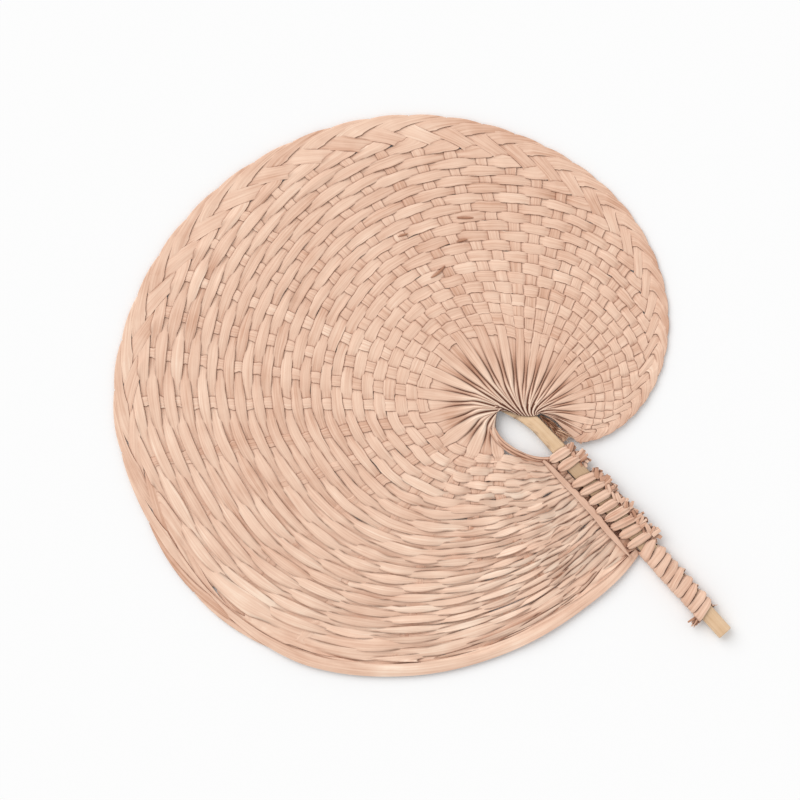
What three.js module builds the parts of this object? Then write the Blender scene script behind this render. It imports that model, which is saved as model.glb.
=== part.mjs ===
// Woven palm leaf fan. One fan-palm leaf is split into segments that fan out from the head of its own stalk.
// Each segment runs outwards as a warp, folds over at the rim and comes back round as a weft, over one and
// under one, so that the blade grows as a spiral. The wefts end at the stalk, where lashings tie them down.
// Millimetres, +Z up, with the fan lying flat and its stalk along -Y from the hub.

import * as THREE from "three";

// Leaf segments: how many, how thick and how wide
const segmentCount = 44;
const edgingCount = 3; // the last segments only edge the hanging hole
const bentCount = 8; // the last woven segments lean round towards the stalk
const stripThickness = 0.5;
const stripWidth = 6.4;
const crossingGap = 0.3; // air between a warp and a weft where they cross
const sideGap = 0.35; // air between neighbouring wefts
const warpFillMost = 0.62; // share of its pitch that a warp fills where the weave is tight
const fillSum = 1.44; // warp fill and weft fill together, which sets how high the weave has to lift
const weftFillMost = 0.93;

// Angles round the hub, in degrees from +X, growing from the right lobe over the top to the stalk
const stalkAngle = -THREE.MathUtils.radToDeg(Math.PI / 2); // along -Y
const openAngle = 129.5; // up to here the segments stand at even angles
const firstClear = 10; // from the stalk to the first segment
const lastInnerClear = 78; // back from the stalk's other side to the last woven segment at its first weft
const lastOuterClear = 32; // and to the same segment at the rim
const edgingClear = 77; // and to where the edging segments have turned along the hole
const hubFirstClear = 35; // from the stalk to the first segment at the head, and back to the last one
const hubLastClear = 114;
const edgingSpread = 0.8; // share of the room beside the hole that the edging segments take up

// Blade: its largest radius, and distances from the hub along the stalk to the first and the last weft end
const bladeReach = 245;
const gatherNear = 0.1755 * bladeReach;
const gatherFar = 0.447 * bladeReach;
const gatherOffset = 10.6; // distance of the weft ends from the hub's own Y axis

// Radii as shares of the largest one, against the angles above: the rim, the first weft and the hole
const rimRadius = [
  [-80, 0.127],
  [-72, 0.165],
  [-42, 0.282],
  [18, 0.535],
  [48, 0.663],
  [78, 0.812],
  [108, 0.945],
  [128, 0.998],
  [140, 1.0],
  [152, 0.967],
  [168, 0.922],
  [186, 0.827],
  [204, 0.708],
  [222, 0.6],
  [242, 0.51],
  [265, gatherFar / bladeReach],
];
const innerRadius = [
  [-80, 0.122],
  [-66, 0.151],
  [-12, 0.163],
  [48, 0.188],
  [98, 0.233],
  [138, 0.233],
  [160, 0.196],
  [185, 0.159],
  [225, 0.155],
  [256, gatherNear / bladeReach],
];
const holeRadius = [
  [160, 0.08],
  [188, 0.088],
  [222, 0.102],
  [256, 0.135],
];

// Rim: each segment leans forward by one place before it folds over
const leanPlaces = 1;
const leanRows = 2;
const foldAhead = 0.44; // shares of a place that a folded edge reaches forwards and backwards
const foldBehind = 0.24;
const foldGap = 0.4; // air inside the fold

// Pleats where the segments spring from the stalk's head
const pleatHeight = 3.2;
const pleatFillMost = 0.82;
const pleatLength = 0.65; // share of a pleat over which it flattens
const pleatTurn = 2; // how late a pleat turns into its own direction
const pleatEarlier = 1.4; // and by how much the first ones turn earlier and the last ones later
const pleatLater = 2;
const headGap = 0.3;

// Crown of the blade: how far its middle stands above its rim
const crownHeight = 4;
const crownCentre = new THREE.Vector2(-0.218, 0.248).multiplyScalar(bladeReach);
const crownRadius = 0.68 * bladeReach;

// Stalk: flattened round stick with a wider head inside the blade
const stalkWidth = 9.5;
const stalkThickness = 5;
const stalkOffset = -1.2; // its axis lies a little to the left of the hub
const handleLength = 71.5; // stalk beyond the last weft end
const headRadius = 8.5;
const headTip = 82; // degrees round the head from its widest place to its blunt tip
const neckTurn = 12; // degrees over which the stick widens into the head
const neckLength = 1;

// Splint: a flat slip over the weft ends
const splintWidth = 3.4;
const splintThickness = 1.1;
const splintGap = 0.3;
const splintLead = 11; // how far it reaches past the first weft end
const splintTail = 0.5; // and past the last one
const splintTip = 0.25; // share of its width at the tips

// Lashings: loops of leaf strip round the stalk, and the winding that makes the grip
const lashingCount = 10;
const barePlace = 2; // after this many lashings one place stays bare
const lashingLead = 7; // the first lashing lies this far before the first weft end
const lashingTail = 4.5; // and the last one this far before the last
const lashingWidth = 4.6;
const lashingThickness = 0.9;
const lashingInset = 1.2; // between its left end and the weft ends
const lashingRight = 10.2;
const snugRight = 6.2; // the first one keeps clear of the first segment
const lashingSlant = -13; // degrees
const bindingGap = 0.3; // air between a binding and the stalk
const gripTurns = 9;
const gripLead = 4.5; // bare stalk between the last weft end and the grip
const gripPitch = 6;
const gripStripWidth = 4.8;
const gripThickness = 1.6;

// Web: brown fibre left between the stalk and the first segment
const webThickness = 0.8;
const webGap = 0.3;
const webNear = 0.2; // where it starts and stops, as shares of the first pleat's length
const webFar = 0.72;

// Fineness of the facets
const pleatSteps = 5;
const gatherSteps = 3;
const edgingSteps = 9;
const gripSteps = 20;
const stalkSides = 16;
const headSteps = 7;
const splintSteps = 8;
const loopSides = 6;

// Sizes that follow from the ones above
const lastWarp = segmentCount - edgingCount - 1;
const bendStart = lastWarp - bentCount;
const firstAngle = stalkAngle + firstClear;
const segmentPitch = (openAngle - firstAngle) / bendStart;
const turnEnd = stalkAngle + 360;
const lastInnerAngle = turnEnd - lastInnerClear;
const lastOuterAngle = turnEnd - lastOuterClear;
const edgingAngle = turnEnd - edgingClear;
const hubFirstAngle = stalkAngle + hubFirstClear;
const hubLastAngle = turnEnd - hubLastClear;
const weaveLift = (stripThickness + crossingGap) / (2 - fillSum);
const restHeight = weaveLift + stripThickness / 2;
const stalkEnd = -gatherFar - handleLength;
const lashingLeft = lashingInset - gatherOffset;
const lashingFirst = lashingLead - gatherNear;
const lashingPitch = (lashingFirst + gatherFar - lashingTail) / lashingCount;
const rad = Math.PI / 180;

// A smooth curve through [angle, share] pairs, straight beyond its ends.
function follow(knots, x) {
  const slope = (i, j) => (knots[j][1] - knots[i][1]) / (knots[j][0] - knots[i][0]);
  const last = knots.length - 1;
  if (x <= knots[0][0]) return knots[0][1] + slope(0, 1) * (x - knots[0][0]);
  if (x >= knots[last][0]) return knots[last][1] + slope(last - 1, last) * (x - knots[last][0]);
  const i = knots.findIndex((knot) => knot[0] > x) - 1;
  const span = knots[i + 1][0] - knots[i][0];
  const t = (x - knots[i][0]) / span;
  const startSlope = slope(Math.max(i - 1, 0), i + 1);
  const endSlope = slope(i, Math.min(i + 2, last));
  return (
    knots[i][1] * (1 - t) ** 2 * (1 + 2 * t) +
    knots[i + 1][1] * t ** 2 * (3 - 2 * t) +
    span * t * (1 - t) * (startSlope * (1 - t) - endSlope * t)
  );
}

const radiusAt = (knots, angle) => bladeReach * follow(knots, angle);
const mix = (a, b, t) => a + (b - a) * t;
const ease = (t) => THREE.MathUtils.smoothstep(t, 0, 1);
const polar = (angle, radius) =>
  new THREE.Vector2(Math.cos(angle * rad), Math.sin(angle * rad)).multiplyScalar(radius);

// Height of the blade's middle surface above the ground.
function bladeHeight(point) {
  const share = 1 - (point.distanceTo(crownCentre) / crownRadius) ** 2;
  return restHeight + crownHeight * Math.max(share, 0);
}

// Angle of a warp line at the inner edge of the weave or at the rim.
function warpLine(u, lastAngle) {
  const even = firstAngle + segmentPitch * u;
  const bent = Math.max(u - bendStart, 0);
  const extra = lastAngle - openAngle - segmentPitch * bentCount;
  return even + extra * (bent / bentCount) ** 2;
}

// Wefts under the rim at place u, counted in weft pitches.
const weftRoom = (u) => Math.min(u, lastWarp) + 0.5;

// Where the weft that lies a share q of the way to the rim ends, beside the stalk.
const gatherAngle = (radius) => turnEnd - Math.asin(gatherOffset / radius) / rad;
function gatherPlace(q) {
  const radius = mix(gatherNear, gatherFar, q);
  return { angle: gatherAngle(radius), radius };
}

// The weave as a map: u counts warps round the hub and v counts wefts out from it.
function weavePoint(u, v) {
  const warp = Math.min(u, lastWarp);
  const q = v / weftRoom(u);
  const leaning = warp + leanPlaces * ease((v - weftRoom(u) + leanRows) / leanRows);
  const turned = 1 - (1 - Math.min(q, 1)) ** 2;
  let angle = mix(warpLine(leaning, lastInnerAngle), warpLine(leaning, lastOuterAngle), turned);
  const gathered = Math.max(u - lastWarp, 0) / gatherSteps;
  const end = gatherPlace(q);
  angle = mix(angle, end.angle, gathered);
  const inner = radiusAt(innerRadius, angle);
  const radius = inner + (radiusAt(rimRadius, angle) - inner) * q;
  return polar(angle, mix(radius, end.radius, gathered ** 2));
}

// Radius of edging segment u at an angle past the hole's tip.
function edgingRadius(u, angle) {
  const hole = radiusAt(holeRadius, angle);
  const place = (segmentCount - 0.5 - u) / edgingCount;
  return hole + (radiusAt(innerRadius, angle) - hole) * place * edgingSpread;
}

// The open pleats: segment u runs from the stalk's head at s = 0 to its first weft, or the hole, at s = 1.
function pleatPoint(u, s) {
  const woven = u <= lastWarp;
  const target = woven ? weavePoint(u, 0.5) : polar(edgingAngle, edgingRadius(u, edgingAngle));
  const endAngle = THREE.MathUtils.euclideanModulo(target.angle() / rad + 100, 360) - 100;
  const startAngle = mix(hubFirstAngle, hubLastAngle, u / (segmentCount - 1));
  const early = ease((bendStart - 2 * u) / bendStart); // the first segments turn at once, the last ones late
  const late = ease((u - bendStart) / (segmentCount - bendStart));
  const tightness = pleatTurn - pleatEarlier * early + pleatLater * late;
  const angle = mix(startAngle, endAngle, s ** tightness);
  return polar(angle, mix(headRadius + headGap, target.length(), s));
}

// Share of its pitch that a warp fills at a crossing, and what is left for the weft there.
function warpFill(u, v) {
  const pitch = weavePoint(u + 0.5, v).distanceTo(weavePoint(u - 0.5, v));
  return Math.min(warpFillMost, stripWidth / pitch);
}
function weftFill(u, v) {
  const pitch = weavePoint(u, v + 0.5).distanceTo(weavePoint(u, v - 0.5));
  const beside = u > lastWarp ? weftFillMost : fillSum - warpFill(u, v);
  return Math.min(weftFillMost, beside, 1 - sideGap / pitch);
}

// One cross-section of a strip: its two side points, its height above the blade's middle and its thickness.
// The inner face is the one that faces up on a warp; it faces down once the strip has folded over.
function section(left, right, lift, thickness, turnedOver = false) {
  const up = turnedOver ? -thickness / 2 : thickness / 2;
  const at = (point, dz) => new THREE.Vector3(point.x, point.y, bladeHeight(point) + lift + dz);
  return [at(left, up), at(right, up), at(right, -up), at(left, -up)];
}

// Half of the fold at the rim, below or above the gap inside it.
function foldSection(left, right, side) {
  const corner = (point, depth) => {
    const out = point.clone().setLength(point.length() + depth);
    const height = bladeHeight(point) + side * (foldGap / 2 + depth);
    return new THREE.Vector3(out.x, out.y, height);
  };
  const [inner, outer] = [0, stripThickness];
  return [corner(left, inner), corner(right, inner), corner(right, outer), corner(left, outer)];
}

// A closed body through sections that all have the same number of corners.
function throughSections(sections) {
  const corners = sections[0].length;
  const index = [];
  const corner = (i, side) => corners * i + (side % corners);
  for (let i = 0; i + 1 < sections.length; i += 1) {
    for (let side = 0; side < corners; side += 1) {
      const [a, b] = [corner(i, side), corner(i, side + 1)];
      const [c, d] = [corner(i + 1, side + 1), corner(i + 1, side)];
      index.push(a, b, c, a, c, d);
    }
  }
  const end = sections.length - 1;
  for (let side = 1; side + 1 < corners; side += 1) {
    index.push(0, side + 1, side);
    index.push(corner(end, 0), corner(end, side), corner(end, side + 1));
  }
  return new THREE.BufferGeometry().setFromPoints(sections.flat()).setIndex(index);
}

// Sections of segment u through the open pleats, from the stalk's head outwards.
function pleatSections(u) {
  return Array.from({ length: pleatSteps }, (_, i) => {
    const s = i / pleatSteps;
    const [middle, next, last] = [pleatPoint(u, s), pleatPoint(u + 1, s), pleatPoint(u - 1, s)];
    const pitch = Math.min(middle.distanceTo(next), middle.distanceTo(last));
    const fill = Math.min(pleatFillMost, 1 - sideGap / pitch);
    const left = middle.clone().lerp(next, fill / 2);
    const right = middle.clone().lerp(last, fill / 2);
    return section(left, right, 0, mix(pleatHeight, stripThickness, ease(s / pleatLength)));
  });
}

// A woven segment: pleat, warp, fold at the rim, then weft round to the stalk.
function wovenSegment(k) {
  const sections = pleatSections(k);
  const weftRuns = (warp, weft) => ((warp - weft) % 2 === 1 ? 1 : -1); // 1 is over, -1 is under
  for (let weft = 0; weft < k; weft += 1) {
    const v = weft + 0.5;
    const half = warpFill(k, v) / 2;
    const lift = -weftRuns(k, weft) * weaveLift;
    sections.push(section(weavePoint(k + half, v), weavePoint(k - half, v), lift, stripThickness));
  }
  const rimLeft = weavePoint(k + foldAhead, weftRoom(k + foldAhead));
  const rimRight = weavePoint(k - foldBehind, weftRoom(k - foldBehind));
  sections.push(foldSection(rimLeft, rimRight, -1), foldSection(rimLeft, rimRight, 1));
  const v = k + 0.5;
  for (let place = k + 1; place <= lastWarp + gatherSteps; place += 1) {
    const half = weftFill(place, v) / 2;
    const lift = place > lastWarp ? 0 : weftRuns(place, k) * weaveLift;
    const [outer, inner] = [weavePoint(place, v + half), weavePoint(place, v - half)];
    sections.push(section(outer, inner, lift, stripThickness, true));
  }
  return throughSections(sections);
}

// An edging segment: pleat, then along the side of the hole to the stalk.
function edgingSegment(u) {
  const sections = pleatSections(u);
  const alongHole = (place, t) => {
    const end = gatherAngle(edgingRadius(place, gatherAngle(gatherNear)));
    const angle = mix(edgingAngle, end, t);
    return polar(angle, edgingRadius(place, angle));
  };
  for (let i = 0; i <= edgingSteps; i += 1) {
    const t = i / edgingSteps;
    const half = warpFillMost / 2;
    sections.push(section(alongHole(u + half, t), alongHole(u - half, t), 0, stripThickness));
  }
  return throughSections(sections);
}

// A loop with flat top and bottom and round ends, between two places on the X axis.
function flatLoop(left, right, halfHeight, path = new THREE.Shape()) {
  path.absarc(right - halfHeight, 0, halfHeight, -Math.PI / 2, Math.PI / 2, false);
  path.absarc(left + halfHeight, 0, halfHeight, Math.PI / 2, (3 * Math.PI) / 2, false);
  return path;
}

const hubHeight = bladeHeight(new THREE.Vector2(0, 0));

// A wave whose corners are drawn out, for sections with flat sides and rounded edges.
const squared = (wave) => Math.sign(wave) * Math.sqrt(Math.abs(wave));

// The stalk: a flattened stick, cut square at its end, with a round head inside the blade.
function stalkGeometry() {
  const neck = stalkAngle + Math.asin(stalkWidth / 2 / headRadius) / rad;
  const stations = [{ y: stalkEnd, x: stalkOffset, half: stalkWidth / 2 }];
  stations.push({ y: headRadius * Math.sin(neck * rad) - neckLength, x: stalkOffset, half: stalkWidth / 2 });
  for (let i = 0; i <= headSteps; i += 1) {
    const angle = mix(neck + neckTurn, headTip, i / headSteps) * rad;
    stations.push({ y: headRadius * Math.sin(angle), x: 0, half: headRadius * Math.cos(angle) });
  }
  const sections = stations.map(({ y, x, half }) =>
    Array.from({ length: stalkSides }, (_, i) => {
      const angle = (-2 * Math.PI * (i + 0.5)) / stalkSides;
      const across = x + half * squared(Math.cos(angle));
      return new THREE.Vector3(across, y, hubHeight + (stalkThickness / 2) * squared(Math.sin(angle)));
    }),
  );
  return throughSections(sections);
}

// One lashing: a flat loop of strip round the stalk.
function lashingGeometry(left, right) {
  const inside = stalkThickness / 2 + bindingGap;
  const shape = flatLoop(left, right, inside + lashingThickness);
  const hole = flatLoop(left + lashingThickness, right - lashingThickness, inside, new THREE.Path());
  shape.holes.push(hole);
  const options = { depth: lashingWidth, bevelEnabled: false, curveSegments: loopSides };
  return new THREE.ExtrudeGeometry(shape, options).translate(0, 0, -lashingWidth / 2).rotateX(Math.PI / 2);
}

// The grip: one strip wound round the stalk, with the least gap between its turns printed.
function gripGeometry() {
  const reach = bindingGap + gripThickness / 2;
  const [a, b] = [stalkWidth / 2 + reach, stalkThickness / 2 + reach];
  const count = gripTurns * gripSteps;
  const centre = (turn) => {
    const angle = 2 * Math.PI * turn;
    const y = -gatherFar - gripLead - gripPitch * turn;
    return new THREE.Vector3(a * squared(Math.cos(angle)), y, b * squared(Math.sin(angle)));
  };
  const sections = Array.from({ length: count + 1 }, (_, i) => {
    const turn = i / gripSteps;
    const { x, z } = centre(turn);
    const out = new THREE.Vector3((x / a) ** 3 / a, 0, (z / b) ** 3 / b).setLength(gripThickness / 2);
    const along = new THREE.Vector3(0, gripStripWidth / 2, 0);
    const at = (sideways, outwards) =>
      centre(turn).addScaledVector(along, sideways).addScaledVector(out, outwards);
    return [at(-1, 1), at(1, 1), at(1, -1), at(-1, -1)];
  });
  let least = Infinity;
  for (let i = 0; i + gripSteps <= count; i += 1) {
    for (const mine of [sections[i][0], sections[i][3]]) {
      for (const next of sections[i + gripSteps]) least = Math.min(least, mine.distanceTo(next));
    }
  }
  console.log("least gap between turns of the grip:", least.toFixed(2), "mm");
  return throughSections(sections).translate(stalkOffset, 0, hubHeight);
}

// The splint: a flat slip of leaf rib, pointed at both ends, lying over the weft ends.
function splintGeometry() {
  const lift = stripThickness / 2 + splintGap + splintThickness / 2;
  const sections = Array.from({ length: splintSteps + 1 }, (_, i) => {
    const t = i / splintSteps;
    const half = (splintWidth / 2) * mix(splintTip, 1, Math.sin(Math.PI * t));
    const y = mix(splintLead - gatherNear, -gatherFar - splintTail, t);
    const right = new THREE.Vector2(-gatherOffset - splintWidth / 2 + half, y);
    const left = new THREE.Vector2(-gatherOffset - splintWidth / 2 - half, y);
    return section(right, left, lift, splintThickness);
  });
  return throughSections(sections);
}

// The web: a thin wedge of fibre that fills the corner beside the stalk.
function webGeometry() {
  const stalkSide = stalkOffset + stalkWidth / 2 + webGap;
  const sections = Array.from({ length: pleatSteps + 1 }, (_, i) => {
    const s = mix(webNear, webFar, i / pleatSteps);
    const left = pleatPoint(0, s).lerp(pleatPoint(-1, s), 0.5 + sideGap / 4);
    const right = new THREE.Vector2(Math.min(stalkSide, left.x - webThickness), left.y);
    return section(left, right, 0, webThickness);
  });
  return throughSections(sections);
}

const leafMaterial = new THREE.MeshStandardMaterial({ color: 0xe4bb9f, roughness: 0.72, metalness: 0 });
const ribMaterial = new THREE.MeshStandardMaterial({ color: 0xd9ac8b, roughness: 0.66, metalness: 0 });
const stalkMaterial = new THREE.MeshStandardMaterial({ color: 0xdcbd8f, roughness: 0.55, metalness: 0 });
const webMaterial = new THREE.MeshStandardMaterial({ color: 0x8a5f45, roughness: 0.9, metalness: 0 });

const fan = new THREE.Group();
const add = (name, geometry, material) => {
  const mesh = new THREE.Mesh(geometry, material);
  mesh.name = name;
  fan.add(mesh);
  return mesh;
};
const numbered = (name, i) => `${name}_${String(i + 1).padStart(2, "0")}`;

for (let k = 0; k < segmentCount; k += 1) {
  const geometry = k <= lastWarp ? wovenSegment(k) : edgingSegment(k);
  add(numbered("leaf_segment", k), geometry, leafMaterial);
}
add("handle_stalk", stalkGeometry(), stalkMaterial);
add("web_fibre", webGeometry(), webMaterial);
add("gather_splint", splintGeometry(), ribMaterial);
for (let i = 0; i < lashingCount; i += 1) {
  const geometry = lashingGeometry(lashingLeft, i === 0 ? snugRight : lashingRight);
  const lashing = add(numbered("lashing", i), geometry, leafMaterial);
  const place = i < barePlace ? i : i + 1;
  lashing.position.set(0, lashingFirst - lashingPitch * place, hubHeight);
  lashing.rotation.z = lashingSlant * rad;
}
add("grip_winding", gripGeometry(), leafMaterial);

// The origin is under the middle of the whole fan, on the ground.
const bounds = new THREE.Box3().setFromObject(fan, true);
const middle = bounds.getCenter(new THREE.Vector3());
fan.position.set(-middle.x, -middle.y, -bounds.min.z);

export default new THREE.Group().add(fan);
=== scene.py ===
import math

import bpy
import numpy as np
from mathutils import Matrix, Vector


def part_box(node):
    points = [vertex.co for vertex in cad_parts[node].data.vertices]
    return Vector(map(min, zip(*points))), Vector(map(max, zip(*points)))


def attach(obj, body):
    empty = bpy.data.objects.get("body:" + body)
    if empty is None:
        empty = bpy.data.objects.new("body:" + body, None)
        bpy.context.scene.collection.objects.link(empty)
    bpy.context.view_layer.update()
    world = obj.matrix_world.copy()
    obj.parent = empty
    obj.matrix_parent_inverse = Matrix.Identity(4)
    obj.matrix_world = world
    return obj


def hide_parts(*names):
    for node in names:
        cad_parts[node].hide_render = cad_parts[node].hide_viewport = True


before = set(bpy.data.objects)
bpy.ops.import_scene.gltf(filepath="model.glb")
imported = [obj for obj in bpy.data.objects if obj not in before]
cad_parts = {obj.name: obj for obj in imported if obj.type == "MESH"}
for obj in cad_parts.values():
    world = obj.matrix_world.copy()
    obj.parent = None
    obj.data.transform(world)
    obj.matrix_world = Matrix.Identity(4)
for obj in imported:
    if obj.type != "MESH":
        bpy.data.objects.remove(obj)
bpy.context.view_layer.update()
print("frame loaded:", len(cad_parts), "nodes")

# The weave's plan: millimetres round the hub at the stalk's head, degrees from +X towards +Y
fan = {
    "segments": 44,
    "edging": 3,  # the last segments only edge the hole
    "bent": 8,  # the last woven segments lean round towards the stalk
    "reach": 245.0,
    "gatherNear": 36.5,
    "gatherFar": 109.5,
    "gatherOffset": 6.4,
    "gatherPlaces": 3,
    "firstAngle": -80.0,
    "openAngle": 129.5,
    "lastInner": 200.0,
    "lastOuter": 238.0,
    "edgingAngle": 170.0,
    "edgingWidth": 4.3,
    "lean": 1.3,
    "leanRows": (0.7, 3.2),
    "borderRows": 3.2,
    "crowding": 0.2,  # rows lie closer towards the rim
    "borderDepth": 0.03,  # and stand wider in the border
    "borderEnd": (27, 34),  # which runs out into a narrow roll between these warps
    "restHeight": 1.9,
    "crownHeight": 4.0,
    "crownCentre": (-53.4, 60.8),
    "crownRadius": 166.6,
    "stalkLength": 181.0,
}
rimShares = [
    (-80, 0.127), (-72, 0.165), (-42, 0.282), (18, 0.535), (48, 0.663), (78, 0.812), (108, 0.945),
    (128, 0.998), (140, 1.0), (152, 0.967), (168, 0.922), (186, 0.827), (204, 0.708), (222, 0.6),
    (242, 0.51), (265, 0.447),
]
innerShares = [
    (-80, 0.122), (-66, 0.148), (-12, 0.153), (48, 0.165), (74, 0.2), (98, 0.233), (138, 0.233),
    (160, 0.196), (185, 0.156), (204, 0.126), (225, 0.123), (256, 0.145),
]
holeShares = [(160, 0.081), (188, 0.09), (222, 0.105), (256, 0.136)]

mm = 0.001
lastWarp = fan["segments"] - fan["edging"] - 1
bendStart = lastWarp - fan["bent"]
segmentPitch = (fan["openAngle"] - fan["firstAngle"]) / bendStart
stalkLow, stalkHigh = (np.array(corner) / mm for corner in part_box("handle_stalk"))
hub = np.array([(stalkLow[0] + stalkHigh[0]) / 2, stalkLow[1] + fan["stalkLength"], 0.0])
hubHeight = (stalkLow[2] + stalkHigh[2]) / 2


def mix(a, b, t):
    return a + (b - a) * t


def ease(t):
    t = np.clip(t, 0, 1)
    return t * t * (3 - 2 * t)


# 0 up to the first place, 1 from the last one on
def fade(x, first, last):
    return ease((x - first) / (last - first))


def polar(angle, radius):
    angle = np.radians(angle)
    return np.stack([radius * np.cos(angle), radius * np.sin(angle)], -1)


# from a to b, leaving and arriving with the given pulls
def swing(a, b, leave, arrive, t):
    ends = a * (1 - t) ** 2 * (1 + 2 * t) + b * t**2 * (3 - 2 * t)
    return ends + t * (1 - t) * (leave * (1 - t) - arrive * t)


# a smooth curve through (x, y) pairs, straight beyond its ends
def follow(knots, x):
    kx, ky = np.array(knots, float).T
    x = np.asarray(x, float)
    slope = np.empty(len(kx))
    slope[1:-1] = (ky[2:] - ky[:-2]) / (kx[2:] - kx[:-2])
    slope[0] = (ky[1] - ky[0]) / (kx[1] - kx[0])
    slope[-1] = (ky[-1] - ky[-2]) / (kx[-1] - kx[-2])
    i = np.clip(np.searchsorted(kx, x, side="right") - 1, 0, len(kx) - 2)
    span = kx[i + 1] - kx[i]
    t = (x - kx[i]) / span
    inside = swing(ky[i], ky[i + 1], span * slope[i], span * slope[i + 1], t)
    before = ky[0] + slope[0] * (x - kx[0])
    after = ky[-1] + slope[-1] * (x - kx[-1])
    return np.where(t < 0, before, np.where(t > 1, after, inside))


# a draw from a span, which may run downwards
def pick(dice, span):
    return mix(*span, dice.random())


# smooth waviness between about -1 and 1, the same for the same seed
def waver(seed, x):
    dice = np.random.default_rng(seed)
    phase = dice.uniform(0, 2 * np.pi, 4)
    pace = dice.uniform(0.7, 1.4, 4) * (0.5, 1.0, 1.9, 3.3)
    weight = (0.5, 0.4, 0.3, 0.2)
    return sum(w * np.sin(p * np.asarray(x) + a) for w, p, a in zip(weight, pace, phase))


def bladeHeight(plan):
    away = np.linalg.norm(plan - np.array(fan["crownCentre"]), axis=-1) / fan["crownRadius"]
    return fan["restHeight"] + fan["crownHeight"] * np.maximum(1 - away**2, 0)


def warpLine(u, lastAngle):
    bent = np.maximum(u - bendStart, 0) / fan["bent"]
    extra = lastAngle - fan["openAngle"] - segmentPitch * fan["bent"]
    return fan["firstAngle"] + segmentPitch * u + extra * bent**2


# 1 along the broad border, 0 where it has run out
def borderAt(u):
    return 1 - fade(u, *fan["borderEnd"])


# the weave as a map: u counts warps round the hub and v counts wefts out from it
def weavePoint(u, v):
    u, v = np.broadcast_arrays(np.asarray(u, float), np.asarray(v, float))
    warp = np.minimum(u, lastWarp)
    room = warp + 0.5
    rows = room - v
    share = 1 - v / room
    q = 1 - share * (1 - fan["crowding"] * (1 - share))
    q = q * (1 - fan["borderDepth"] * borderAt(warp) * ease(rows / fan["borderRows"]))
    leaning = warp + fan["lean"] * (1 - fade(rows, *fan["leanRows"]))
    turned = 1 - (1 - np.minimum(q, 1)) ** 2
    angle = mix(warpLine(leaning, fan["lastInner"]), warpLine(leaning, fan["lastOuter"]), turned)
    gathered = np.maximum(u - lastWarp, 0) / fan["gatherPlaces"]
    endRadius = mix(fan["gatherNear"], fan["gatherFar"], q)
    endAngle = 270 - np.degrees(np.arcsin(fan["gatherOffset"] / endRadius))
    angle = mix(angle, endAngle, gathered)
    inner = fan["reach"] * follow(innerShares, angle)
    radius = mix(inner, fan["reach"] * follow(rimShares, angle), q)
    return polar(angle, mix(radius, endRadius, gathered**2))


# distances between neighbouring warps and neighbouring wefts, square to the strips
def pitches(u, v):
    u, v = np.broadcast_arrays(np.asarray(u, float), np.asarray(v, float))
    step = 0.2
    low = np.maximum(u - step, -0.45)  # the plan starts half a place before the first warp
    acrossWarps = (weavePoint(u + step, v) - weavePoint(low, v)) / (u + step - low)[..., None]
    acrossWefts = (weavePoint(u, v + step) - weavePoint(u, v - step)) / (2 * step)
    area = np.abs(acrossWarps[..., 0] * acrossWefts[..., 1] - acrossWarps[..., 1] * acrossWefts[..., 0])
    return area / np.linalg.norm(acrossWefts, axis=-1), area / np.linalg.norm(acrossWarps, axis=-1)


def edgingRadius(u, angle):
    hole = fan["reach"] * follow(holeShares, angle)
    place = (fan["segments"] - 0.5 - u) / fan["edging"]
    return hole + place * fan["edgingWidth"]


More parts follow.
